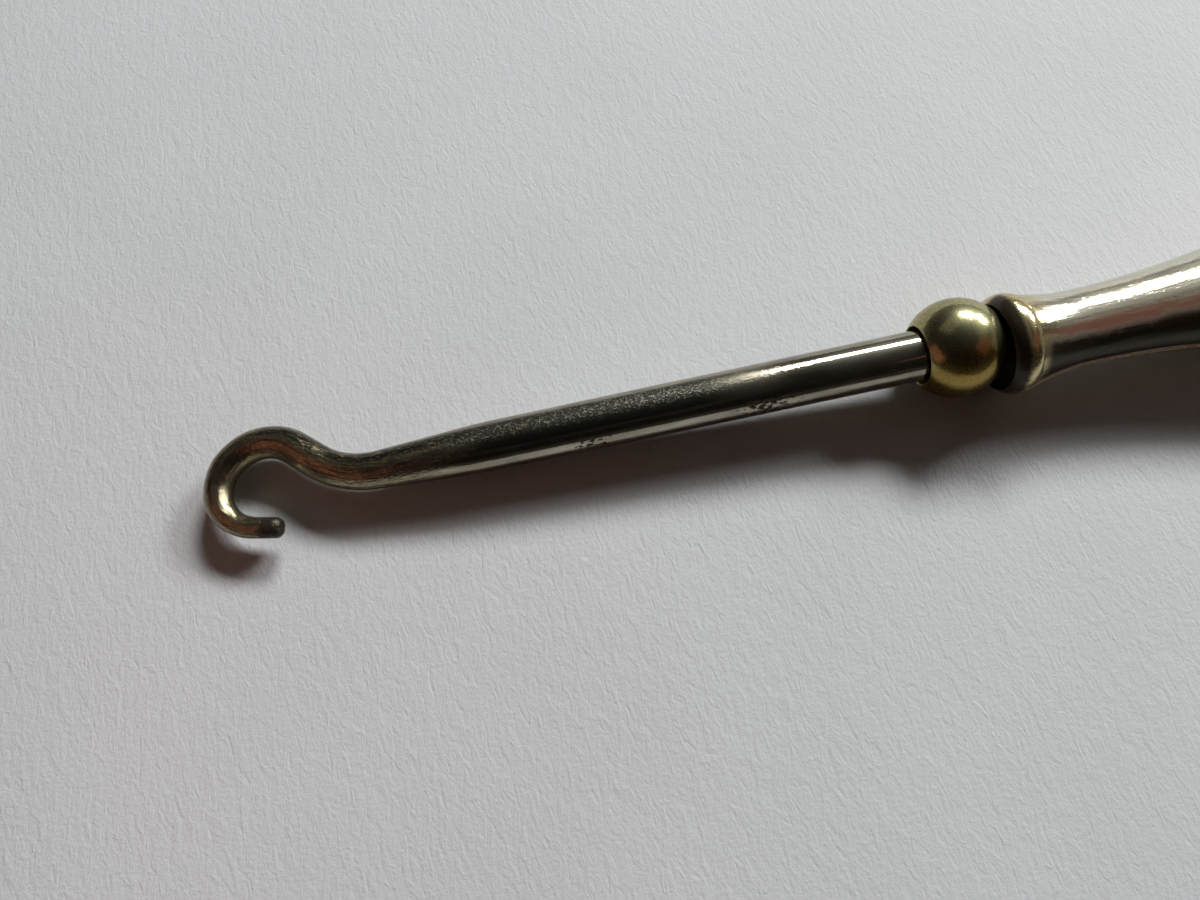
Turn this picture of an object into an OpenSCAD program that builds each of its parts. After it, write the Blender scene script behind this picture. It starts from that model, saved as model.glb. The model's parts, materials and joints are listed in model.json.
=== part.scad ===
// Button hook: a forged steel hook and a ball bolster, set with pitch in a hollow silver handle.
// It lies along X as on a table, with the hook at -X, the handle at +X and the hook's plane level.
// All sizes are millimetres.

/* [Steel shank] */
// Diameter of the shank where it passes through the ball
shank_d = 4.8; // [4.2:0.1:5.2]
// Diameter of the shank at the far end of its long straight
shank_front_d = 4.55; // [3.8:0.05:4.8]
// Length of the long straight, from the middle of the ball
shank_len = 44.8; // [30:0.2:70]
// Length of the short taper between the straight and the first bend
taper_len = 9.7; // [5:0.1:15]
// Length of the tang inside the handle
tang_len = 34; // [24:1:40]
// Diameter of the tang at its far end
tang_tip_d = 2; // [1:0.1:3]

/* [Hook] */
// Diameter of the wire where the first bend starts
bend_d = 3.45; // [2.8:0.05:3.8]
// Diameter of the wire where the first bend ends
offset_d = 3.2; // [2.6:0.05:3.6]
// Diameter of the wire where the crook ends
crook_d = 2.6; // [2.2:0.05:3.1]
// Diameter of the wire from the end of the nose bend to the tip
tip_d = 1.9; // [1.4:0.02:2.2]
// Radius of the first bend, which sets the crook to one side
offset_r = 7.9; // [5.5:0.1:11]
// Angle of the first bend
offset_angle = 43; // [30:1:55]
// Straight between the first bend and the crook
offset_run = 2.35; // [0.5:0.05:4.5]
// Radius of the crook at the middle of the wire
crook_r = 4.35; // [3.6:0.05:5.5]
// Angle of the crook
crook_angle = 126; // [110:1:135]
// Radius of the nose bend at the middle of the wire
nose_r = 3.65; // [3.1:0.05:4.9]
// Angle of the nose bend
nose_angle = 85; // [70:1:95]
// Straight from the nose bend to the tip
nose_run = 2.7; // [1.2:0.1:3.4]
// Rounding of the filed edge at the tip
tip_round = 0.45; // [0.1:0.05:0.6]

/* [Ball bolster] */
// Diameter of the ball
ball_d = 9.25; // [8.6:0.05:10.2]
// Gap between the ball's bore and the shank
ball_fit = 0.05; // [0.02:0.01:0.1]
// Diameter of the countersink where it meets the ball's surface
countersink_d = 5.6; // [5.3:0.1:6.2]
// Depth of the countersink
countersink_depth = 1; // [0.4:0.1:1.6]

/* [Mouth ring] */
// Diameter over the crest of the ring
ring_d = 9.5; // [9.2:0.05:10.4]
// Radius of the ring's rounded face
bead_r = 1.9; // [1.7:0.05:2.4]
// Distance from the ring's crest to its flat rear face
bead_back = 0.85; // [0.6:0.05:1.3]
// Step from the ring's rear edge down to the handle, which leaves a crease
crease_step = 0.06; // [0.02:0.01:0.2]
// Least gap between the ball and the lip of the mouth
mouth_gap = 0.1; // [0.05:0.05:0.4]

/* [Handle] */
// Length of the handle behind the mouth ring
handle_len = 90; // [75:1:120]
// Diameter of the neck at its narrowest
neck_d = 7.3; // [6.6:0.05:7.8]
// Distance from the mouth to the narrowest place of the neck
neck_x = 5.8; // [4.5:0.1:9]
// Distance from the mouth to the belly
belly_x = 46; // [40:1:60]
// Width of the belly, in the plane of the hook
belly_w = 16.3; // [13:0.1:20]
// Thickness of the belly
belly_t = 12.6; // [11.4:0.1:15]
// Fullness of the butt, from 2 for an ellipse to 4 for a blunt end
butt_fullness = 2.8; // [2:0.1:4]
// Wall of the silver shells
wall = 0.45; // [0.3:0.01:0.6]
// Thickness of the solder in the seam between the shells
seam_t = 0.12; // [0.06:0.01:0.2]

/* [Setting] */
// Lean of the shank in its setting, seen from above
shank_lean = 0.85; // [0:0.05:1]
// Distance from the mouth to where the leaning shank crosses the handle's axis
lean_x = 46; // [20:1:60]
// Gap between the pitch and what it fills or holds
pitch_fit = 0.05; // [0.02:0.01:0.1]

/* [Hidden] */

$fn = 96;
// Sides of the wire, and of a half turn round the handle
wire_sides = 24;
half_sides = 18;
// Angle between the rings of a bend
bend_step = 6;
// Rings in the flare at the mouth, from the neck to the belly, and from there to the butt
flare_rings = 7;
swell_rings = 14;
butt_rings = 12;
// The butt's rings stop short of its pole, at a small flat
last_butt_angle = 86;
// Length that a cut runs past the piece that it cuts
cut_past = 1;

ball_r = ball_d / 2;
ring_r = ring_d / 2;
// The mouth is at x = 0: the ring lies before it and the handle behind it
bead_mid_r = ring_r - bead_r;
mouth_r = bead_mid_r + sqrt(pow(bead_r, 2) - pow(bead_back, 2)) - crease_step;
mouth_bore_r = mouth_r - wall;
lip_x = -bead_back - sqrt(pow(bead_r, 2) - pow(mouth_bore_r - bead_mid_r, 2));
// The ball seats in the lip as deep as the lean and the gap let it
lean_shift = tan(shank_lean) * (lean_x - lip_x);
seat_r = mouth_bore_r - lean_shift - mouth_gap;
ball_x = lip_x - sqrt(pow(ball_r, 2) - pow(seat_r, 2));

function arc_len(r, angle) = r * angle * PI / 180;

// The stretches of the wire from the tang's end to the tip: length, turn and end diameter
stretches = [
    [tang_len, 0, shank_d],
    [-ball_x, 0, shank_d],
    [shank_len, 0, shank_front_d],
    [taper_len, 0, bend_d],
    [arc_len(offset_r, offset_angle), offset_angle, offset_d],
    [offset_run, 0, offset_d],
    [arc_len(crook_r, crook_angle), -crook_angle, crook_d],
    [arc_len(nose_r, nose_angle), -nose_angle, tip_d],
    [nose_run - tip_round, 0, tip_d]
];
tang_end = [tang_len, 0, 0];

// A pose on the wire is x, y and heading, where heading 0 runs along -X and +90 along +Y
function run_on(pose, run, turn) =
    let (
        mid = pose[2] + turn / 2,
        chord = turn == 0 ? run : run * sin(turn / 2) / (turn / 2 * PI / 180)
    )
    [pose[0] - chord * cos(mid), pose[1] + chord * sin(mid), pose[2] + turn];

function stretch_start(i) =
    i == 0 ? tang_end : run_on(stretch_start(i - 1), stretches[i - 1][0], stretches[i - 1][1]);

function start_d(i) = i == 0 ? tang_tip_d : stretches[i - 1][2];

function stretch_steps(i) = max(1, ceil(abs(stretches[i][1]) / bend_step));

// Poses along the wire, each with the wire's radius
wire_body = [
    [tang_end, tang_tip_d / 2],
    for (i = [0:len(stretches) - 1])
        for (k = [1:stretch_steps(i)])
            let (f = k / stretch_steps(i))
            [
                run_on(stretch_start(i), stretches[i][0] * f, stretches[i][1] * f),
                (start_d(i) * (1 - f) + stretches[i][2] * f) / 2
            ]
];
wire_end = run_on(stretch_start(len(stretches) - 1), nose_run - tip_round, 0);
wire_tip = [
    for (a = [30:30:90])
        [run_on(wire_end, tip_round * sin(a), 0), tip_d / 2 - tip_round * (1 - cos(a))]
];
wire = concat(wire_body, wire_tip);

function wire_ring(place) = [
    for (j = [0:wire_sides - 1])
        let (a = 360 * j / wire_sides, h = place[0][2], r = place[1])
        [place[0][0] + r * cos(a) * sin(h), place[0][1] + r * cos(a) * cos(h), r * sin(a)]
];

// Rings of the handle's surface, or of one set in by a depth: x, half width and half thickness
function swell(belly, f) = neck_d / 2 + (belly - neck_d / 2) * (1 - cos(180 * f)) / 2;

function handle_rings(depth) = [
    for (i = [0:flare_rings - 1])
        let (f = i / flare_rings, r = neck_d / 2 + (mouth_r - neck_d / 2) * pow(1 - f, 2))
        [neck_x * f, r - depth, r - depth],
    for (i = [0:swell_rings - 1])
        let (f = i / swell_rings)
        [neck_x + (belly_x - neck_x) * f, swell(belly_w / 2, f) - depth, swell(belly_t / 2, f) - depth],
    for (i = [0:butt_rings])
        let (
            a = last_butt_angle * i / butt_rings,
            c = pow(cos(a), 2 / butt_fullness),
            s = pow(sin(a), 2 / butt_fullness)
        )
        [belly_x + (handle_len - depth - belly_x) * s, (belly_w / 2 - depth) * c, (belly_t / 2 - depth) * c]
];

// The seat on the table: the line under the belly and under the ball or the ring
supports = [[ball_x, ball_r], [-bead_back, ring_r]];
lie_slope = min([
    for (s = supports)
        max([for (ring = handle_rings(0)) (ring[2] - s[1]) / (ring[0] - s[0])])
]);
lie_angle = atan(lie_slope);
lift = max(concat(
    [for (s = supports) s[1] - s[0] * sin(lie_angle)],
    [for (ring = handle_rings(0)) ring[2] * cos(lie_angle) - ring[0] * sin(lie_angle)]
));
hook_end_x = min([for (place = wire) place[0][0] - place[1]]);
mid_x = (hook_end_x + handle_len) / 2 * cos(lie_angle);

// Triangles that join two neighbouring rows of n points, open or closed
function band(row, next, n, closed) = [
    for (j = [0:n - (closed ? 1 : 2)])
        let (k = (j + 1) % n)
        each [[row + j, row + k, next + k], [row + j, next + k, next + j]]
];

// The same faces, turned to the other side
function flip(faces) = [for (f = faces) [for (k = [len(f) - 1:-1:0]) f[k]]];

// A closed skin over rows of points, each row a closed loop
module loop_skin(rows) {
    n = len(rows[0]);
    last = (len(rows) - 1) * n;
    polyhedron(
        [for (row = rows) each row],
        concat(
            [for (i = [0:len(rows) - 2]) each band(i * n, (i + 1) * n, n, true)],
            [[for (j = [0:n - 1]) n - 1 - j], [for (j = [0:n - 1]) last + j]]
        )
    );
}

module lying() {
    translate([-mid_x, 0, lift]) rotate([0, -lie_angle, 0]) children();
}

// Swings the steel and its ball in the mouth, by the lean
module leaning() {
    pivot = [lean_x, 0, 0];
    translate(pivot) rotate([0, 0, -shank_lean]) translate(-pivot) children();
}

module hook_shank() {
    color("dimgray")
    lying() leaning()
        loop_skin([for (place = wire) wire_ring(place)]);
}

module ball_bolster() {
    color("darkkhaki")
    lying() leaning() translate([ball_x, 0, 0]) rotate([0, 90, 0])
        difference() {
            sphere(d = ball_d);
            cylinder(h = ball_d + 2 * cut_past, d = shank_d + 2 * ball_fit, center = true);
            countersink();
        }
}

// The cone widens from the bore to its rim on the ball's surface, and runs on past it
module countersink() {
    bore_r = shank_d / 2 + ball_fit;
    rim_r = countersink_d / 2;
    rim_x = sqrt(pow(ball_r, 2) - pow(rim_r, 2));
    widening = (rim_r - bore_r) / countersink_depth;
    translate([0, 0, -rim_x - cut_past])
        cylinder(h = countersink_depth + cut_past, r1 = rim_r + widening * cut_past, r2 = bore_r);
}

module mouth_ring() {
    color("lightgray")
    lying() rotate([0, 90, 0]) rotate_extrude()
        intersection() {
            translate([bead_mid_r, -bead_back]) circle(r = bead_r);
            translate([mouth_bore_r, -bead_back - bead_r]) square([ring_r, bead_back + bead_r]);
        }
}

// Half a turn of one ring of the handle, on the side of z given by 1 or -1, from the seam's face
function half_ring(ring, side) = [
    for (j = [0:half_sides])
        let (a = 180 * j / half_sides)
        [ring[0], ring[1] * cos(a), side * max(ring[2] * sin(a), seam_t / 2)]
];

module shell_half(side) {
    outer = [for (ring = handle_rings(0)) half_ring(ring, side)];
    inner = [for (ring = handle_rings(wall)) half_ring(ring, side)];
    n = half_sides + 1;
    rows = len(outer);
    in0 = rows * n;
    last = (rows - 1) * n;
    // Faces of the lower half: the two skins, the mouth's edge, the seam's two edges and the butt
    faces = concat(
        [for (i = [0:rows - 2]) each band(i * n, (i + 1) * n, n, false)],
        [for (i = [0:rows - 2]) each flip(band(in0 + i * n, in0 + (i + 1) * n, n, false))],
        band(in0, 0, n, false),
        [
            for (i = [0:rows - 2])
                let (a = i * n, b = a + n, e = n - 1)
                each [
                    [a, b, in0 + b], [a, in0 + b, in0 + a],
                    [a + e, in0 + b + e, b + e], [a + e, in0 + a + e, in0 + b + e]
                ]
        ],
        [
            [for (j = [0:n - 1]) last + j],
            [for (j = [0:n - 1]) in0 + last + n - 1 - j],
            [last, last + n - 1, in0 + last + n - 1],
            [last, in0 + last + n - 1, in0 + last]
        ]
    );
    polyhedron(
        concat([for (row = outer) each row], [for (row = inner) each row]),
        side < 0 ? faces : flip(faces)
    );
}

module handle_shell_upper() {
    color("silver")
    lying() shell_half(1);
}

module handle_shell_lower() {
    color("silver")
    lying() shell_half(-1);
}

function side_outline(rings) = concat(
    [for (ring = rings) [ring[0], ring[1]]],
    [for (i = [len(rings) - 1:-1:0]) [rings[i][0], -rings[i][1]]]
);

module seam_solder() {
    color("gainsboro")
    lying() linear_extrude(height = seam_t, center = true)
        difference() {
            polygon(side_outline(handle_rings(0)));
            polygon(side_outline(handle_rings(wall)));
        }
}

// The pitch fills the shells and holds the tang
module pitch_filling() {
    depth = wall + pitch_fit;
    turn = 2 * half_sides;
    outer = [
        for (ring = handle_rings(depth))
            [for (j = [0:turn - 1]) let (a = 360 * j / turn) [ring[0], ring[1] * sin(a), ring[2] * cos(a)]]
    ];
    color("saddlebrown")
    lying()
        difference() {
            loop_skin(outer);
            leaning() tang_hole();
        }
}

// A cone that follows the tang with the pitch's gap, and runs out through the mouth
module tang_hole() {
    r_end = tang_tip_d / 2 + pitch_fit;
    r_mouth = shank_d / 2 + pitch_fit;
    grow = (r_mouth - r_end) / tang_len;
    translate([tang_len + pitch_fit, 0, 0]) rotate([0, -90, 0])
        cylinder(h = tang_len + pitch_fit + cut_past, r1 = r_end, r2 = r_mouth + grow * cut_past);
}

hook_shank();
ball_bolster();
mouth_ring();
handle_shell_upper();
handle_shell_lower();
seam_solder();
pitch_filling();
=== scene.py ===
import json
import math

import bmesh
import bpy
import numpy as np
from mathutils import Matrix, Vector, noise


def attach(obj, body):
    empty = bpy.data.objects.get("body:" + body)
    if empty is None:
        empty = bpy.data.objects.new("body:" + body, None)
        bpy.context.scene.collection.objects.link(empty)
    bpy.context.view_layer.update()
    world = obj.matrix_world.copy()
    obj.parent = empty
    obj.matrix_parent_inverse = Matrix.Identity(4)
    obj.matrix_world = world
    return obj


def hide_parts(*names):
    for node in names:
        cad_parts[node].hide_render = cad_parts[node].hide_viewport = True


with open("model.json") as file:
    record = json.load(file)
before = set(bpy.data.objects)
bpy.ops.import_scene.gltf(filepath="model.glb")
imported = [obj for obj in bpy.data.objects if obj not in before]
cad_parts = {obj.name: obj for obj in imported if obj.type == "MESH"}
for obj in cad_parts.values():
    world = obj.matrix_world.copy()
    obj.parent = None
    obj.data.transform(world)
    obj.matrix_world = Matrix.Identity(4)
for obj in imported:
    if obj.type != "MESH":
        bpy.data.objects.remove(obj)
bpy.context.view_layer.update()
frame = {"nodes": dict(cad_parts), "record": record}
mm = 0.001
print("frame loaded,", len(frame["nodes"]), "nodes")


# A node socket that takes part in sums, and adds any other node to its tree
class Link:
    def __init__(self, tree, socket=None):
        self.tree = tree
        self.socket = socket

    def node(self, kind, settings=None, sockets=None, out=0):
        made = self.tree.nodes.new(kind)
        for name, value in (settings or {}).items():
            setattr(made, name, value)
        for name, value in (sockets or {}).items():
            if isinstance(value, Link):
                self.tree.links.new(value.socket, made.inputs[name])
            else:
                made.inputs[name].default_value = value
        return Link(self.tree, made.outputs[out])

    def math(self, operation, *values):
        return self.node("ShaderNodeMath", {"operation": operation}, dict(enumerate(values)))

    def vector(self, operation, other, out=0):
        return self.node("ShaderNodeVectorMath", {"operation": operation}, {0: self, 1: other}, out)

    def __add__(self, other):
        return self.math("ADD", self, other)

    def __sub__(self, other):
        return self.math("SUBTRACT", self, other)

    def __rsub__(self, other):
        return self.math("SUBTRACT", other, self)

    def __mul__(self, other):
        return self.math("MULTIPLY", self, other)

    def __truediv__(self, other):
        return self.math("DIVIDE", self, other)

    def __rtruediv__(self, other):
        return self.math("DIVIDE", other, self)

    __radd__ = __add__
    __rmul__ = __mul__

    # 0 below low, 1 above high, eased between; low may be the larger
    def step(self, low, high):
        if low > high:
            return 1 - self.step(high, low)
        eased = {"interpolation_type": "SMOOTHSTEP"}
        return self.node("ShaderNodeMapRange", eased, {"Value": self, "From Min": low, "From Max": high})

    # 1 at the middle of a stretch, eased to 0 at a reach to either side
    def near(self, middle, reach):
        return self.math("ABSOLUTE", self - middle).step(reach, 0)

    def part(self, axis):
        return self.node("ShaderNodeSeparateXYZ", None, {0: self}, axis)

    def scaled(self, factor):
        return self.node("ShaderNodeVectorMath", {"operation": "SCALE"}, {0: self, "Scale": factor})

    def stretched(self, x, y, z):
        return self.vector("MULTIPLY", (x, y, z))

    def cloud(self, scale, detail=2.0, rough=0.5, twist=0.0):
        sockets = {"Vector": self, "Scale": scale, "Detail": detail}
        sockets.update({"Roughness": rough, "Distortion": twist})
        return self.node("ShaderNodeTexNoise", None, sockets)

    # Self is the share of the second colour
    def colour(self, first, second):
        return self.node("ShaderNodeMix", {"data_type": "RGBA"}, {0: self, 6: first, 7: second}, 2)

    def bump(self, depth):
        return self.node("ShaderNodeBump", None, {"Height": self, "Distance": depth, "Strength": 1.0})


def rgb(r, g, b):
    return (r, g, b, 1.0)


# A new material with its shader; the finish functions link what varies
def startMaterial(name, settings):
    material = bpy.data.materials.new(name)
    material.use_nodes = True
    tree = material.node_tree
    shader = tree.nodes["Principled BSDF"]
    for socket, value in settings.items():
        shader.inputs[socket].default_value = value
    return material, Link(tree), shader


# A second shader over the first, by a share from 0 to 1
def mixIn(link, shader, share, settings):
    second = link.node("ShaderNodeBsdfPrincipled", None, settings)
    shaders = {0: share, 1: Link(link.tree, shader.outputs[0]), 2: second}
    mixed = link.node("ShaderNodeMixShader", None, shaders)
    link.tree.links.new(mixed.socket, link.tree.nodes["Material Output"].inputs["Surface"])
    return second.socket.node


def feed(link, shader, values):
    for socket, value in values.items():
        link.tree.links.new(value.socket, shader.inputs[socket])


# Place on the piece in millimetres, as the piece was drawn before it was laid down
def pieceMm(link):
    place = link.node("ShaderNodeAttribute", {"attribute_name": "place"}, out="Vector")
    return place.scaled(1 / mm)


# Sizes in millimetres and degrees, with the handle's mouth at x = 0, and how finely each piece is drawn
handle = {
    "length": 90.0,
    "neck": 7.3,
    "neckAt": 5.8,
    "bellyAt": 46.0,
    "bellyWide": 16.3,
    "bellyThick": 12.6,
    "buttFullness": 2.8,
    "wall": 0.45,
    "seam": 0.12,
    "solderProud": 0.1,
    "flareRows": 36,
    "swellRows": 110,
    "buttRows": 70,
    "halfTurn": 56,
    "lastButtAngle": 89.9,
    "edge": 0.04,
    "waver": 0.012,
    "waverSize": 4.5,
    "seed": 11,
    "calmAtSeam": 1.5,
    "calmAtMouth": 2.0,
}
ring = {
    "over": 9.5,
    "beadRadius": 1.9,
    "beadBack": 0.85,
    "creaseStep": 0.06,
    "mouthGap": 0.1,
    "turn": 160,
    "ridge": 0.08,
    "ridgeAngle": 0.8,
    "ridgeFoot": 1.6,
    "beadSteps": 40,
    "rearSteps": 8,
    "boreSteps": 14,
    "edge": 0.04,
    "waver": 0.012,
    "waverSize": 2.6,
    "seed": 7,
}
ball = {
    "across": 9.25,
    "fit": 0.05,
    "countersink": 5.6,
    "countersinkDepth": 1.0,
    "turn": 160,
    "domeSteps": 80,
    "boreSteps": 24,
    "coneSteps": 6,
    "edge": 0.07,
    "waver": 0.006,
    "waverSize": 3.0,
    "seed": 3,
}
hook = {
    "tangLength": 34.0,
    "tangTip": 2.0,
    "shank": 4.8,
    "shankFront": 4.55,
    "straight": 44.8,
    "taper": 9.7,
    "bend": 3.45,
    "offset": 3.2,
    "crook": 2.6,
    "tip": 1.9,
    "offsetRadius": 7.9,
    "offsetAngle": 43.0,
    "offsetRun": 2.35,
    "crookRadius": 4.35,
    "crookAngle": 126.0,
    "noseRadius": 3.65,
    "noseAngle": 85.0,
    "noseRun": 2.7,
    "tipRound": 0.75,
    "tipAngles": (8, 89, 8),
    "tipFullness": 0.6,
    "tipCrumbles": (1.6, 0.6),
    "shankLumps": 0.15,
    "flatBlend": 0.4,
    "lean": 0.85,
    "leanAt": 46.0,
    "fine": 0.05,
    "ease": 1.5,
    "thin": 4.0,
    "ringEvery": 0.3,
}

# What follows from the sizes: mouth, lip of the ring, and the ball's seat in it
beadMid = ring["over"] / 2 - ring["beadRadius"]
ringRear = beadMid + math.sqrt(ring["beadRadius"] ** 2 - ring["beadBack"] ** 2)
mouthRadius = ringRear - ring["creaseStep"]
mouthBore = mouthRadius - handle["wall"]
lipX = -ring["beadBack"] - math.sqrt(ring["beadRadius"] ** 2 - (mouthBore - beadMid) ** 2)
leanShift = math.tan(math.radians(hook["lean"])) * (hook["leanAt"] - lipX)
ballSeat = mouthBore - leanShift - ring["mouthGap"]
ballX = lipX - math.sqrt((ball["across"] / 2) ** 2 - ballSeat**2)


# Rows of the handle's skin, set in by a depth: x, half width, half thickness
def handleRows(depth):
    h = handle
    neck = h["neck"] / 2
    wide = h["bellyWide"] / 2
    thick = h["bellyThick"] / 2
    flare = np.linspace(0, 1, h["flareRows"], endpoint=False)
    swell = np.linspace(0, 1, h["swellRows"], endpoint=False)
    eased = np.linspace(0, 1, h["buttRows"])
    butt = np.radians(h["lastButtAngle"]) * eased**2 * (3 - 2 * eased)
    flareR = neck + (mouthRadius - neck) * (1 - flare) ** 2 - depth
    rise = (1 - np.cos(np.pi * swell)) / 2
    close = np.cos(butt) ** (2 / h["buttFullness"])
    reach = np.sin(butt) ** (2 / h["buttFullness"])
    x = [h["neckAt"] * flare, h["neckAt"] + (h["bellyAt"] - h["neckAt"]) * swell,
         h["bellyAt"] + (h["length"] - depth - h["bellyAt"]) * reach]
    y = [flareR, neck + (wide - neck) * rise - depth, (wide - depth) * close]
    z = [flareR, neck + (thick - neck) * rise - depth, (thick - depth) * close]
    return np.column_stack([np.concatenate(x), np.concatenate(y), np.concatenate(z)])


# The wire's line from the tang's end to the tip: x, y, radius and distance past the ball
def wireLine():
    h = hook
    arcs = [math.radians(h[bend + "Angle"]) * h[bend + "Radius"] for bend in ("offset", "crook", "nose")]
    runs = [h["tangLength"], -ballX, h["straight"], h["taper"], arcs[0], h["offsetRun"], arcs[1], arcs[2],
            h["noseRun"] - h["tipRound"]]
    rates = [0, 0, 0, 0, 1 / h["offsetRadius"], 0, -1 / h["crookRadius"], -1 / h["noseRadius"], 0]
    across = [h["tangTip"], h["shank"], h["shank"], h["shankFront"], h["bend"], h["offset"], h["offset"],
              h["crook"], h["tip"], h["tip"]]
    ends = np.cumsum(runs)
    along = np.arange(0, ends[-1], h["fine"])
    rate = np.array(rates)[np.searchsorted(ends, along, side="right").clip(0, len(runs) - 1)]
    radius = np.interp(along, np.concatenate([[0], ends]), across) / 2
    rate = easedOver(rate, h["ease"] / h["fine"])
    radius = easedOver(radius, h["thin"] / h["fine"])
    heading = np.cumsum(rate) * h["fine"]
    x = h["tangLength"] - np.cumsum(np.cos(heading)) * h["fine"]
    y = np.cumsum(np.sin(heading)) * h["fine"]
    line = np.column_stack([x, y, radius, along - h["tangLength"] + ballX])
    kept = line[:: round(h["ringEvery"] / h["fine"])]
    return np.vstack([kept, tipRings(line[-1], heading[-1])])


# A running mean, so that bends and tapers begin gently
def easedOver(values, width):
    half = int(width / 2)
    padded = np.concatenate([np.full(half, values[0]), values, np.full(half, values[-1])])
    return np.convolve(padded, np.ones(2 * half + 1) / (2 * half + 1), mode="valid")


# Closes the wire in a blunt dome
def tipRings(end, heading):
    rings = []
    for angle in np.radians(np.arange(*hook["tipAngles"])):
        run = hook["tipRound"] * math.sin(angle)
        radius = end[2] * math.cos(angle) ** hook["tipFullness"]
        x = end[0] - run * math.cos(heading)
        y = end[1] + run * math.sin(heading)
        rings.append([x, y, radius, end[3] + run])
    return np.array(rings)


# How the tool lies: on the belly, and on the ball or the ring, whichever touches first
skin = handleRows(0)
wire = wireLine()
supports = [(ballX, ball["across"] / 2), (-ring["beadBack"], ring["over"] / 2)]
slopes = [np.max((skin[:, 2] - r) / (skin[:, 0] - x)) for x, r in supports]
lie = math.atan(min(slopes))
lift = max(
    max(r - x * math.sin(lie) for x, r in supports),
    np.max(skin[:, 2] * math.cos(lie) - skin[:, 0] * math.sin(lie)),
)
midX = (np.min(wire[:, 0] - wire[:, 2]) + handle["length"]) / 2 * math.cos(lie)
lying = Matrix.Translation(Vector((-midX, 0, lift)) * mm) @ Matrix.Rotation(-lie, 4, "Y")
pivot = Matrix.Translation((hook["leanAt"] * mm, 0, 0))
leaning = lying @ pivot @ Matrix.Rotation(-math.radians(hook["lean"]), 4, "Z") @ pivot.inverted()
ballCentre = leaning @ Vector((ballX * mm, 0, 0))
print("lies at", round(math.degrees(lie), 2), "degrees, ball at", [round(v / mm, 3) for v in ballCentre])

# The camera: where the ball shows in the 1200 by 900 picture, and how deep in front of the lens
view = {
    "lens": 26.0,
    "sensor": 36.0,
    "tilt": 20.0,
    "turn": 12.93,
    "frame": (1200, 900),
    "ballPixel": (954.6, 347.8),
    "ballDepth": 80.79,
}


def makeCamera():
    data = bpy.data.cameras.new("photoCamera")
    data.lens = view["lens"]
    data.sensor_width = view["sensor"]
    data.clip_start = 1 * mm
    camera = bpy.data.objects.new("photoCamera", data)
    camera.rotation_euler = (math.radians(view["tilt"]), 0, -math.radians(view["turn"]))
    pixels = view["lens"] / view["sensor"] * view["frame"][0]
    depth = view["ballDepth"] * mm
    right = (view["ballPixel"][0] - view["frame"][0] / 2) / pixels * depth
    up = (view["frame"][1] / 2 - view["ballPixel"][1]) / pixels * depth
    camera.location = ballCentre - camera.rotation_euler.to_matrix() @ Vector((right, up, -depth))
    bpy.context.scene.collection.objects.link(camera)
    bpy.context.scene.camera = camera
    return camera


camera = makeCamera()
print("camera at", [round(v / mm, 1) for v in camera.location], "mm")

# Finishes: lengths are in millimetres, and places along the steel are measured from the ball
steelLook = {
    "bright": rgb(0.47, 0.44, 0.36),
    "warm": rgb(0.46, 0.39, 0.21),
    "patina": rgb(0.25, 0.225, 0.16),
    "crust": rgb(0.050, 0.045, 0.036),
    "rust": rgb(0.055, 0.030, 0.018),
    "gold": rgb(0.58, 0.47, 0.24),
    "dark": rgb(0.034, 0.034, 0.028),
    "clearEnds": (21.0, 10.0),
    "grainStarts": (8.0, 30.0),
    "darkStarts": (13.0, 26.0),
    "hookStarts": (42.0, 56.0),
    "crookStarts": (62.0, 69.0),
    "tipStarts": (2.8, 1.6),
    "pitted": ((18.5, 6.0), (35.0, 4.0), (56.0, 8.0)),
    "relief": 0.05,
    "shineRough": 0.08,
    "hazeRough": 0.40,
    "specular": 0.1,
}


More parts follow.
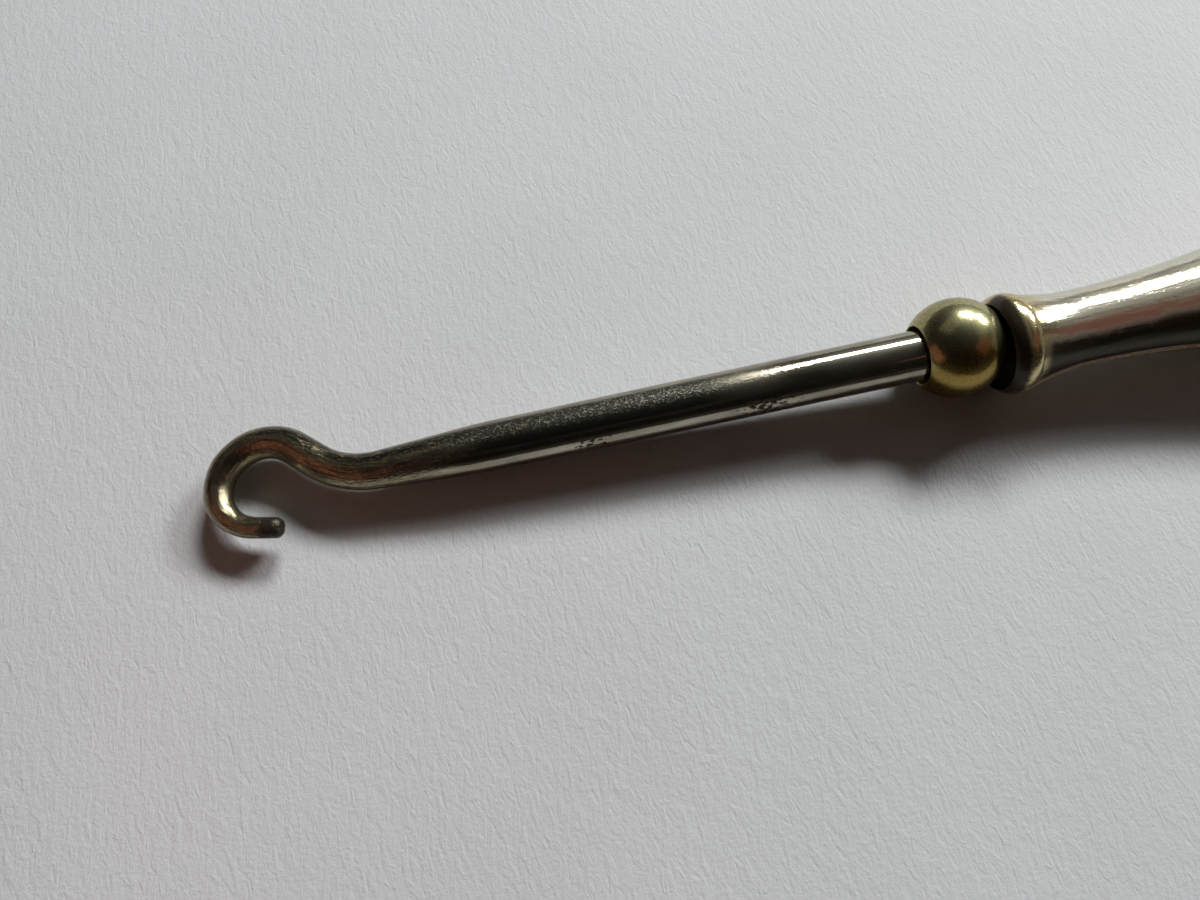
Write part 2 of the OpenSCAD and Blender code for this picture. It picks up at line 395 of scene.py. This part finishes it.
# Clear near the ball, grainy along the upper flank, and dull with streaks on the hook
def agedSteel():
    look = steelLook
    plain = {"Specular IOR Level": look["specular"]}
    material, link, shader = startMaterial("agedSteel", plain)
    place = pieceMm(link)
    along = place.part("X")
    side = place.part("Y")
    tipFrom, tipTo = (wire[-1, 3] - back for back in look["tipStarts"])
    tip = along.step(tipFrom, tipTo)
    hookward = along.step(*look["hookStarts"])
    crookward = along.step(*look["crookStarts"])
    topside = link.math("MAXIMUM", side.step(-0.9, 0.1), hookward)
    grainy = along.step(*look["grainStarts"]) * topside

    # Clouds drawn out along the wire
    lines = place.stretched(0.05, 1, 1).cloud(8.0, 3.0)
    grain = place.stretched(0.7, 1, 1).cloud(5.5, 3.0, 0.6)
    patches = place.stretched(0.35, 1, 1).cloud(0.6, 4.0, 0.6)
    streaks = place.stretched(0.06, 1, 1).cloud(3.5, 4.0, 0.6).step(0.52, 0.62)
    flecks = place.stretched(0.25, 1, 1).cloud(6.5, 3.0).step(0.54, 0.66)
    pores = place.stretched(0.7, 1, 1).cloud(2.6, 5.0, 0.7)

    # Worn metal, with a dark band on the crown of the shank and on the bend: partly a dark film, partly
    # painted shade laid where the window's reflection falls
    worn = (patches + lines * 0.4 + (grain - 0.5) * grainy * 0.8 + hookward * 0.10 - 0.2).step(0.2, 0.75)
    base = (hookward * 0.8).colour(look["bright"], look["warm"])
    base = worn.colour(base, look["patina"])
    crown = side.step(-1.6, -1.0) * along.step(*look["darkStarts"]) * (1 - hookward)
    bend = side.step(-0.1, 0.5) * side.step(1.55, 1.15) * hookward * (1 - crookward)
    rubbed = grain.step(0.50, 0.70) * topside
    filmAndShade = (crown * side.step(1.7, 1.2) + bend * 0.75) * (1.05 - rubbed * 0.62)
    base = (filmAndShade + streaks * hookward * 0.6).colour(base, look["dark"])
    base = (flecks * hookward * 0.7).colour(base, look["gold"])

    # Rust pits low on the near flank, and a crust on the tip
    pitted = sum(along.near(middle, reach) for middle, reach in look["pitted"])
    pits = (pores + pitted * 0.24 - 0.12).step(0.60, 0.64) * side.step(-1.6, -1.9)
    crust = (grain + tip * 0.5 - 0.5).step(0.15, 0.45) * tip
    base = pits.colour(crust.colour(base, look["crust"]), look["rust"])

    relief = lines * (0.03 + hookward * 0.8) + grain * (grainy * (1.3 - hookward * 0.5) + tip * 0.7)
    normal = relief.bump(look["relief"] * mm)
    metal = 1 - (pits * 0.9 + crust * 0.3)
    shine = look["shineRough"] + worn * 0.04 + hookward * 0.05 + pits * 0.4 + crust * 0.05
    feed(link, shader, {"Base Color": base, "Roughness": shine, "Metallic": metal, "Normal": normal})
    clear = along.step(*look["clearEnds"])
    dull = crown * 0.85 + (grain - 0.5) * grainy * 0.4 + lines * hookward * 0.25 + clear * 0.2
    haze = mixIn(link, shader, dull.step(0, 1), plain)
    soft = look["hazeRough"] + grain * 0.12
    feed(link, haze, {"Base Color": base, "Roughness": soft, "Metallic": metal, "Normal": normal})
    return material


brassLook = {
    "rubbed": rgb(0.50, 0.435, 0.20),
    "ochre": rgb(0.33, 0.23, 0.062),
    "olive": rgb(0.43, 0.43, 0.24),
    "dark": rgb(0.10, 0.085, 0.045),
    "seatStarts": (3.0, 4.2),
    "ochreStarts": (-0.6, -2.4),
    "relief": 0.006,
    "shineRough": 0.11,
    "hazeRough": 0.37,
}


# A clear shine under a dull olive haze; painted shade makes the near side a darker ochre and darkens the
# seat by the ring, over random tarnish
def tarnishedBrass():
    look = brassLook
    plain = {"Metallic": 1.0}
    material, link, shader = startMaterial("tarnishedBrass", plain)
    place = pieceMm(link)
    patches = place.cloud(0.45, 4.0, 0.6)
    fine = place.cloud(5.0, 4.0, 0.65)
    scratch = place.stretched(1, 0.12, 1).cloud(6.0, 2.0) * place.stretched(0.15, 1, 1).cloud(5.0, 2.0)
    # Painted shade: the near side turns a darker ochre, standing in for the shaded paper it reflects
    shadedNearSide = (place.part("Y") + fine).step(*look["ochreStarts"])
    # Painted shade between the ball and the ring: the seat is darkened, together with the tarnish patches
    seat = place.part("X").step(*look["seatStarts"])
    tarnish = (patches * 0.7 + fine - 0.40).step(0.25, 0.65)
    dull = seat * 0.8 + tarnish * (0.5 - shadedNearSide * 0.3)
    normal = (fine * 0.6 + scratch * 2).bump(look["relief"] * mm)
    clear = dull.colour(shadedNearSide.colour(look["rubbed"], look["ochre"]), look["dark"])
    shine = look["shineRough"] + fine * 0.10
    feed(link, shader, {"Base Color": clear, "Roughness": shine, "Normal": normal})
    filmAndShade = dull.colour(shadedNearSide.colour(look["olive"], look["ochre"]), look["dark"])
    soft = look["hazeRough"] + fine * 0.12
    haze = mixIn(link, shader, patches * 0.30 + fine * 0.5 - 0.15, plain)
    feed(link, haze, {"Base Color": filmAndShade, "Roughness": soft, "Normal": normal})
    return material


silverLook = {
    "clean": rgb(0.71, 0.68, 0.55),
    "yellow": rgb(0.61, 0.51, 0.28),
    "black": rgb(0.042, 0.032, 0.020),
    "mouthStarts": (3.0, -0.6),
    "frontStarts": (-0.7, -1.6),
    "swellStarts": (18, 38),
    "crease": (0.02, 0.25),
    "relief": 0.006,
    "shineRough": 0.11,
    "hazeRough": 0.34,
    "specular": 0.2,
}


# Yellowed towards the mouth; black painted shade on the ring's front, facing the ball, and on the near flank
# of the neck above the seam, with dark tarnish streaks
def oldSilver():
    look = silverLook
    plain = {"Specular IOR Level": look["specular"]}
    material, link, shader = startMaterial("oldSilver", plain)
    place = pieceMm(link)
    along = place.part("X")
    side = place.part("Y")
    swell = along.step(*look["swellStarts"])
    patches = place.cloud(0.30, 4.0, 0.6)
    fine = place.cloud(4.0, 4.0, 0.6)
    scratch = place.stretched(0.2, 1, 1).cloud(9.0, 2.0)
    waves = place.stretched(0.08, 1, 1).cloud(1.6, 3.0)
    streaks = place.stretched(0.06, 1, 1).cloud(2.2, 4.0, 0.65).step(0.50, 0.66)

    mouth = along.step(*look["mouthStarts"])
    yellow = (patches * 0.8 + mouth * 0.7 + fine * 0.15 - 0.3).step(0.1, 0.8)
    base = yellow.colour(look["clean"], look["yellow"])
    crease = along.near(*look["crease"])
    farSide = side / place.stretched(0, 1, 1).vector("LENGTH", (0, 0, 0), "Value")
    # Painted shade: the ring's front, which faces the ball, is turned black, all but its far edge
    front = along.step(*look["frontStarts"]) * farSide.step(0.92, 0.76)
    offSeam = place.part("Z").step(0.15, 0.6)
    # Painted shade: the near flank of the neck above the seam is darkened in place of the unlit floor it
    # reflects, and fades out along the swell
    shadedNearSide = (side + patches * 1.2 - 0.6).step(-1.3, -2.6) * along.step(-0.5, 1.5) * offSeam
    shadedNearSide = shadedNearSide * (0.95 - swell * 0.85)
    dark = (crease * 0.3 + front + shadedNearSide + streaks * (0.3 - swell * 0.2) + fine * 0.2 - 0.1).step(0, 1)
    base = dark.colour(base, look["black"])

    relief = scratch * (2 - swell) + fine * 0.8 + waves * (7 - swell * 5)
    normal = relief.bump(look["relief"] * mm)
    metal = 1 - dark * 0.7
    shine = look["shineRough"] + yellow * 0.03 + dark * 0.05
    feed(link, shader, {"Base Color": base, "Roughness": shine, "Metallic": metal, "Normal": normal})
    haze = mixIn(link, shader, 0.06 + patches * 0.14, plain)
    soft = look["hazeRough"] + fine * 0.14
    feed(link, haze, {"Base Color": base, "Roughness": soft, "Metallic": metal, "Normal": normal})
    return material


solderLook = {"clean": rgb(0.74, 0.69, 0.56), "dull": rgb(0.46, 0.41, 0.30), "relief": 0.008}


def silverSolder():
    look = solderLook
    material, link, shader = startMaterial("silverSolder", {"Metallic": 1.0})
    dull = pieceMm(link).cloud(3.0, 4.0, 0.6)
    base = dull.step(0.3, 0.7).colour(look["clean"], look["dull"])
    normal = dull.bump(look["relief"] * mm)
    feed(link, shader, {"Base Color": base, "Roughness": 0.25 + dull * 0.2, "Normal": normal})
    return material


pitchLook = {"deep": rgb(0.05, 0.03, 0.018), "brown": rgb(0.12, 0.075, 0.045), "relief": 0.06}


# The pitch keeps its CAD mesh, so its finish goes by Object coordinates
def settingPitch():
    look = pitchLook
    material, link, shader = startMaterial("settingPitch", {})
    place = link.node("ShaderNodeTexCoord", out="Object").scaled(1 / mm)
    grain = place.cloud(2.5, 5.0, 0.65)
    base = grain.step(0.3, 0.7).colour(look["deep"], look["brown"])
    normal = grain.bump(look["relief"] * mm)
    feed(link, shader, {"Base Color": base, "Roughness": 0.35 + grain * 0.4, "Normal": normal})
    return material


finishes = {
    "aged_steel": agedSteel(),
    "tarnished_brass": tarnishedBrass(),
    "old_silver": oldSilver(),
    "silver_solder": silverSolder(),
    "setting_pitch": settingPitch(),
}
print("finishes:", ", ".join(sorted(finishes)))


# Small lasting unevenness, as hand work and wear leave it
def waver(points, settings):
    uneven = []
    for point in points:
        place = Vector(point) / settings["waverSize"] + Vector((settings["seed"], 0, 0))
        uneven.append(noise.noise(place) * settings["waver"])
    return np.array(uneven)


def meshFrom(name, points, faces):
    mesh = bpy.data.meshes.new(name)
    mesh.from_pydata((np.array(points) * mm).tolist(), [], faces)
    mesh.validate()
    return mesh


def evaluated(piece):
    graph = bpy.context.evaluated_depsgraph_get()
    return bpy.data.meshes.new_from_object(piece.evaluated_get(graph))


rounding = {"segments": 3, "sharpOver": 40}


# Rounds sharp edges, turns the faces outwards, keeps the drawn place for the finish, and lays the piece down
def finishPiece(node, mesh, laid, edge=0):
    slot = next(s["material_slot"] for s in frame["record"]["subparts"] if s["node"] == node)
    piece = bpy.data.objects.new(node + ".look", mesh)
    bpy.context.scene.collection.objects.link(piece)
    if edge:
        bevel = piece.modifiers.new("edge", "BEVEL")
        bevel.width = edge * mm
        bevel.segments = rounding["segments"]
        bevel.limit_method = "ANGLE"
        bevel.angle_limit = math.radians(rounding["sharpOver"])
        piece.data = evaluated(piece)
        piece.modifiers.clear()
    mesh = piece.data
    work = bmesh.new()
    work.from_mesh(mesh)
    bmesh.ops.recalc_face_normals(work, faces=work.faces)
    work.to_mesh(mesh)
    work.free()
    if "place" not in mesh.attributes:
        place = mesh.attributes.new("place", "FLOAT_VECTOR", "POINT")
        place.data.foreach_set("vector", [c for v in mesh.vertices for c in v.co])
    mesh.transform(laid)
    mesh.polygons.foreach_set("use_smooth", [True] * len(mesh.polygons))
    mesh.materials.clear()
    mesh.materials.append(finishes[slot])
    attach(piece, "root")
    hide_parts(node)
    print("made", node, len(mesh.polygons), "faces")


# Turns a closed outline of x and radius about the x axis, with a fine ridge at both sides if it has one
def turned(name, outline, settings):
    outline = np.array(outline)
    count = len(outline)
    angles = np.linspace(0, 2 * np.pi, settings["turn"], endpoint=False)
    lifts = np.zeros(len(angles))
    if "ridge" in settings:
        half = math.radians(settings["ridgeAngle"])
        foot = settings["ridgeFoot"]
        lifts[[0, len(angles) // 2]] = settings["ridge"]
        beside = [middle + half * side for middle in (0, np.pi) for side in (-foot, -1, 1, foot)]
        angles = np.concatenate([angles, np.array(beside) % (2 * np.pi)])
        lifts = np.concatenate([lifts, np.tile([0, 1, 1, 0], 2) * settings["ridge"]])
        order = np.argsort(angles)
        angles, lifts = angles[order], lifts[order]
    turns = len(angles)
    points = []
    for angle, lift in zip(angles, lifts):
        radius = outline[:, 1] + lift
        y = radius * math.cos(angle)
        z = radius * math.sin(angle)
        points.append(np.column_stack([outline[:, 0], y, z]))
    points = np.vstack(points)
    away = points * (0, 1, 1)
    away /= np.linalg.norm(away, axis=1)[:, None]
    points = points + away * waver(points, settings)[:, None]
    faces = []
    for t in range(turns):
        here = t * count
        there = (t + 1) % turns * count
        for i in range(count):
            j = (i + 1) % count
            faces.append((here + i, here + j, there + j, there + i))
    return meshFrom(name, points, faces)


def makeBall():
    radius = ball["across"] / 2
    bore = hook["shank"] / 2 + ball["fit"]
    rim = ball["countersink"] / 2
    dome = np.linspace(math.asin(rim / radius), math.pi - math.asin(bore / radius), ball["domeSteps"])
    outline = [(-radius * math.cos(a), radius * math.sin(a)) for a in dome]
    coneEnd = -math.sqrt(radius**2 - rim**2) + ball["countersinkDepth"]
    rear = outline[-1][0]
    front = outline[0][0]
    outline += [(x, bore) for x in np.linspace(rear, coneEnd, ball["boreSteps"])[1:]]
    for f in np.linspace(0, 1, ball["coneSteps"])[1:-1]:
        outline.append((coneEnd + (front - coneEnd) * f, bore + (rim - bore) * f))
    mesh = turned("ballBolster", outline, ball)
    finishPiece("ball_bolster", mesh, leaning @ Matrix.Translation((ballX * mm, 0, 0)), ball["edge"])


def makeRing():
    start = math.atan2(mouthBore - beadMid, lipX + ring["beadBack"])
    end = math.atan2(ringRear - beadMid, ring["beadBack"])
    outline = []
    for angle in np.linspace(start, end, ring["beadSteps"]):
        outline.append((-ring["beadBack"] + ring["beadRadius"] * math.cos(angle),
                        beadMid + ring["beadRadius"] * math.sin(angle)))
    outline += [(0, radius) for radius in np.linspace(ringRear, mouthBore, ring["rearSteps"])[1:]]
    outline += [(x, mouthBore) for x in np.linspace(0, lipX, ring["boreSteps"])[1:-1]]
    mesh = turned("mouthRing", outline, ring)
    finishPiece("mouth_ring", mesh, lying, ring["edge"])


# One half of the handle: an outer and an inner skin, joined at the mouth, the seam and the butt
def makeShell(node, side):
    count = handle["halfTurn"] + 1
    angles = np.linspace(0, np.pi, count)
    skins = []
    for depth in (0, handle["wall"]):
        rows = handleRows(depth)
        y = rows[:, 1, None] * np.cos(angles)
        z = side * np.maximum(rows[:, 2, None] * np.sin(angles), handle["seam"] / 2)
        x = np.repeat(rows[:, 0, None], count, axis=1)
        points = np.stack([x, y, z], axis=2).reshape(-1, 3)
        if depth == 0:
            away = points * (0, 1, 1)
            away /= np.linalg.norm(away, axis=1)[:, None]
            calm = np.clip(np.abs(points[:, 2]) / handle["calmAtSeam"], 0, 1)
            calm = calm * np.clip(points[:, 0] / handle["calmAtMouth"], 0, 1)
            points = points + away * (waver(points, handle) * calm)[:, None]
        skins.append(points)
    rowCount = len(skins[0]) // count
    inner = len(skins[0])
    faces = []
    for i in range(rowCount - 1):
        here = i * count
        there = here + count
        for j in range(count - 1):
            faces.append((here + j, here + j + 1, there + j + 1, there + j))
            within = (here + j, there + j, there + j + 1, here + j + 1)
            faces.append([inner + corner for corner in within])
        for j in (0, count - 1):
            faces.append((here + j, there + j, inner + there + j, inner + here + j))
    for j in range(count - 1):
        faces.append((j, inner + j, inner + j + 1, j + 1))
    last = (rowCount - 1) * count
    faces.append([last + j for j in range(count)])
    faces.append([inner + last + count - 1 - j for j in range(count)])
    faces.append((last, last + count - 1, inner + last + count - 1, inner + last))
    mesh = meshFrom(node, np.vstack(skins), faces)
    finishPiece(node, mesh, lying, handle["edge"])


# The solder: a thin band round both sides and the butt, left a little proud of the shells
# Its section is listed as depth under the skin, and height as a share of half the seam
def makeSolder():
    half = handle["seam"] / 2
    proud = handle["solderProud"]
    section = [(0, 1), (-0.7 * proud, 1), (-proud, 0.6), (-proud, -0.6), (-0.7 * proud, -1), (0, -1)]
    section += [(handle["wall"], -1), (handle["wall"], 1)]
    points = []
    for depth, height in section:
        edge = handleRows(depth)[:, :2]
        loop = np.vstack([edge, edge[::-1] * (1, -1)])
        points.append(np.column_stack([loop, np.full(len(loop), half * height)]))
    count = len(points[0])
    sides = len(section)
    faces = []
    for k in range(sides):
        here = k * count
        there = (k + 1) % sides * count
        for i in range(count - 1):
            faces.append((here + i, here + i + 1, there + i + 1, there + i))
    for i in (0, count - 1):
        faces.append([k * count + i for k in range(sides)])
    mesh = meshFrom("seamSolder", np.vstack(points), faces)
    finishPiece("seam_solder", mesh, lying)


# Geometry nodes sweep the forged wire along its line, and leave hammer flats and a filed tip on it
forging = {
    "Sides": 72,
    "Lump depth": 0.05 * mm,
    "Lump size": 2.4 * mm,
    "Flat depth": 0.09 * mm,
    "Flat size": 2.2 * mm,
    "Tip depth": 0.16 * mm,
    "Tip size": 0.45 * mm,
}


def wireTree(tipAt):
    tree = bpy.data.node_groups.new("forgedWire", "GeometryNodeTree")
    tree.interface.new_socket("Geometry", in_out="INPUT", socket_type="NodeSocketGeometry")
    tree.interface.new_socket("Geometry", in_out="OUTPUT", socket_type="NodeSocketGeometry")
    for label, value in forging.items():
        kind = "NodeSocketInt" if isinstance(value, int) else "NodeSocketFloat"
        tree.interface.new_socket(label, in_out="INPUT", socket_type=kind)
    tree.interface.new_socket("Finish", in_out="INPUT", socket_type="NodeSocketMaterial")
    given = {s.name: Link(tree, s) for s in tree.nodes.new("NodeGroupInput").outputs if s.name}
    link = Link(tree)

    def stored(name, kind):
        return link.node("GeometryNodeInputNamedAttribute", {"data_type": kind}, {"Name": name})

    path = link.node("GeometryNodeMeshToCurve", None, {"Mesh": given["Geometry"]})
    circle = link.node("GeometryNodeCurvePrimitiveCircle", None,
                       {"Resolution": given["Sides"], "Radius": 1.0})
    swept = link.node("GeometryNodeCurveToMesh", None,
                      {"Curve": path, "Profile Curve": circle, "Scale": stored("wireRadius", "FLOAT"),
                       "Fill Caps": True})
    along = stored("wireAlong", "FLOAT")
    out = link.node("GeometryNodeInputPosition").vector("SUBTRACT", stored("wireCentre", "FLOAT_VECTOR"))
    side = out.vector("DOT_PRODUCT", stored("wireSide", "FLOAT_VECTOR"), out="Value")
    place = link.node("ShaderNodeCombineXYZ", None, {"X": along, "Y": side, "Z": out.part("Z")})
    swept = link.node("GeometryNodeStoreNamedAttribute", {"data_type": "FLOAT_VECTOR", "domain": "POINT"},
                      {"Geometry": swept, "Name": "place", "Value": place})
    drawn = stored("place", "FLOAT_VECTOR")
    hookward = along.step(hook["straight"] * mm, (hook["straight"] + hook["taper"]) * mm)
    tipFrom, tipTo = (tipAt - back * mm for back in hook["tipCrumbles"])
    tipward = along.step(tipFrom, tipTo)
    lumps = drawn.cloud(1 / given["Lump size"], 1.0) - 0.5
    cells = {"Vector": drawn, "Scale": 1 / given["Flat size"], "Smoothness": hook["flatBlend"]}
    flats = link.node("ShaderNodeTexVoronoi", {"feature": "SMOOTH_F1"}, cells) - 0.5
    crumbs = drawn.cloud(1 / given["Tip size"], 2.0) - 0.5
    proud = lumps * given["Lump depth"] * (hook["shankLumps"] + hookward)
    proud = proud + flats * given["Flat depth"] * hookward
    proud = proud + crumbs * given["Tip depth"] * tipward
    moved = link.node("GeometryNodeSetPosition", None,
                      {"Geometry": swept, "Offset": link.node("GeometryNodeInputNormal").scaled(proud)})
    whole = link.node("GeometryNodeRealizeInstances", None, {"Geometry": moved})
    done = link.node("GeometryNodeSetMaterial", None, {"Geometry": whole, "Material": given["Finish"]})
    tree.links.new(done.socket, tree.nodes.new("NodeGroupOutput").inputs["Geometry"])
    return tree


def makeHook():
    steps = np.diff(wire[:, :2], axis=0, append=2 * wire[-1:, :2] - wire[-2:-1, :2])
    steps /= np.linalg.norm(steps, axis=1)[:, None]
    line = [leaning @ Vector((x * mm, y * mm, 0)) for x, y in wire[:, :2]]
    carrier = bpy.data.meshes.new("wireLine")
    carrier.from_pydata(line, [(i, i + 1) for i in range(len(line) - 1)], [])
    turn = leaning.to_3x3()
    sides = [turn @ Vector((dy, -dx, 0)) for dx, dy in steps]
    for name, values in (("wireCentre", line), ("wireSide", sides)):
        stored = carrier.attributes.new(name, "FLOAT_VECTOR", "POINT")
        stored.data.foreach_set("vector", [c for v in values for c in v])
    for name, values in (("wireRadius", wire[:, 2]), ("wireAlong", wire[:, 3])):
        stored = carrier.attributes.new(name, "FLOAT", "POINT")
        stored.data.foreach_set("value", values * mm)
    bench = bpy.data.objects.new("wireLine", carrier)
    bpy.context.scene.collection.objects.link(bench)
    tree = wireTree(wire[-1, 3] * mm)
    modifier = bench.modifiers.new("forgedWire", "NODES")
    modifier.node_group = tree
    values = {**forging, "Finish": finishes["aged_steel"]}
    for item in tree.interface.items_tree:
        if item.name in values:
            modifier[item.identifier] = values[item.name]
    mesh = evaluated(bench)
    bpy.data.objects.remove(bench)
    for name in ("wireCentre", "wireSide", "wireRadius", "wireAlong"):
        mesh.attributes.remove(mesh.attributes[name])
    mesh.name = "hookShank"
    finishPiece("hook_shank", mesh, Matrix.Identity(4))


makeHook()
makeBall()
makeRing()
makeShell("handle_shell_upper", 1)
makeShell("handle_shell_lower", -1)
makeSolder()
pitch = frame["nodes"]["pitch_filling"]
pitch.data.materials.clear()
pitch.data.materials.append(finishes["setting_pitch"])

# The stage: a pale paper floor, a window of two panes, a dim ceiling and right wall, and two warm fills
# The window is placed in metres from the ball, the fills in millimetres in the frame
stage = {"floorWide": 3.0, "paper": rgb(0.590, 0.599, 0.611), "shadeShare": 0.97, "tooth": 0.085}
window = {
    "far": 0.90,
    "high": 0.165,
    "colour": (0.99, 1.0, 0.995),
    "panes": {
        "leftPane": {"turn": 16.5, "rise": 37.0, "wide": 0.32, "glow": 45.0},
        "rightPane": {"turn": 45.7, "rise": 31.0, "wide": 0.27, "glow": 36.5},
    },
}
fills = {
    "ceiling": {"place": (-175, 350, 475), "size": (400, 300), "glow": 0.16, "colour": (1.0, 0.98, 0.88)},
    "leftFill": {"place": (-101, -20, 35), "size": (66, 34), "glow": 0.27, "colour": (1.0, 0.42, 0.30)},
    "rightWall": {"place": (300, 0, 95), "size": (260, 150), "glow": 0.16, "colour": (1.0, 0.96, 0.80)},
    "rightCeiling": {"place": (380, 95, 475), "size": (260, 260), "glow": 0.14, "colour": (1.0, 0.96, 0.84)},
    "rightFill": {"place": (55, -40, 82), "size": (70, 60), "glow": 0.135, "colour": (1.0, 0.40, 0.29)},
}


def makeFloor():
    half = stage["floorWide"] / 2
    corners = [(-half, -half, 0), (half, -half, 0), (half, half, 0), (-half, half, 0)]
    mesh = bpy.data.meshes.new("paperFloor")
    mesh.from_pydata(corners, [], [(0, 1, 2, 3)])
    material, link, shader = startMaterial("paper", {"Roughness": 0.9, "Specular IOR Level": 0.1})
    place = link.node("ShaderNodeTexCoord", out="Object").scaled(1 / mm)
    tooth = place.cloud(2.8, 4.0, 0.6) * 0.5 + place.stretched(1, 0.4, 1).cloud(1.3, 4.0, 0.6, 1.0)
    shade = place.cloud(0.05, 2.0).step(0.3, 0.7)
    paper = stage["paper"]
    base = shade.colour(rgb(*(stage["shadeShare"] * c for c in paper[:3])), paper)
    feed(link, shader, {"Base Color": base, "Normal": tooth.bump(stage["tooth"] * mm)})
    mesh.materials.append(material)
    floor = bpy.data.objects.new("paperFloor", mesh)
    bpy.context.scene.collection.objects.link(floor)


# A direction from the object: turned right of the picture's up, and raised from the floor
def towards(turn, rise):
    bearing = math.radians(turn + view["turn"])
    raised = math.radians(rise)
    flat = math.cos(raised)
    return Vector((math.sin(bearing) * flat, math.cos(bearing) * flat, math.sin(raised)))


# A soft flat lamp, with its brightness as seen from the front
def makeLamp(name, place, aim, wide, high, glow, colour):
    data = bpy.data.lights.new(name, "AREA")
    data.shape = "RECTANGLE"
    data.size = wide
    data.size_y = high
    data.energy = glow * math.pi * wide * high
    data.color = colour
    lamp = bpy.data.objects.new(name, data)
    lamp.location = place
    lamp.rotation_euler = (aim - place).to_track_quat("-Z", "Y").to_euler()
    lamp.visible_camera = False
    bpy.context.scene.collection.objects.link(lamp)


def makeLight():
    for name, pane in window["panes"].items():
        place = ballCentre + towards(pane["turn"], pane["rise"]) * window["far"]
        makeLamp(name, place, ballCentre, pane["wide"], window["high"], pane["glow"], window["colour"])
    for name, fill in fills.items():
        wide, high = fill["size"]
        place = Vector(fill["place"]) * mm
        makeLamp(name, place, ballCentre, wide * mm, high * mm, fill["glow"], fill["colour"])


room = {"high": rgb(0.011, 0.010, 0.009), "low": rgb(0.050, 0.042, 0.036), "lowStarts": (0.40, 0.05)}


def makeWorld():
    world = bpy.data.worlds.new("dimRoom")
    bpy.context.scene.world = world
    world.use_nodes = True
    link = Link(world.node_tree)
    rise = link.node("ShaderNodeTexCoord", out="Generated").part("Z")
    colour = rise.step(*room["lowStarts"]).colour(room["high"], room["low"])
    world.node_tree.links.new(colour.socket, world.node_tree.nodes["Background"].inputs["Color"])


makeFloor()
makeLight()
makeWorld()
bpy.context.scene.view_settings.view_transform = "Standard"
print("stage, lamps and world made")
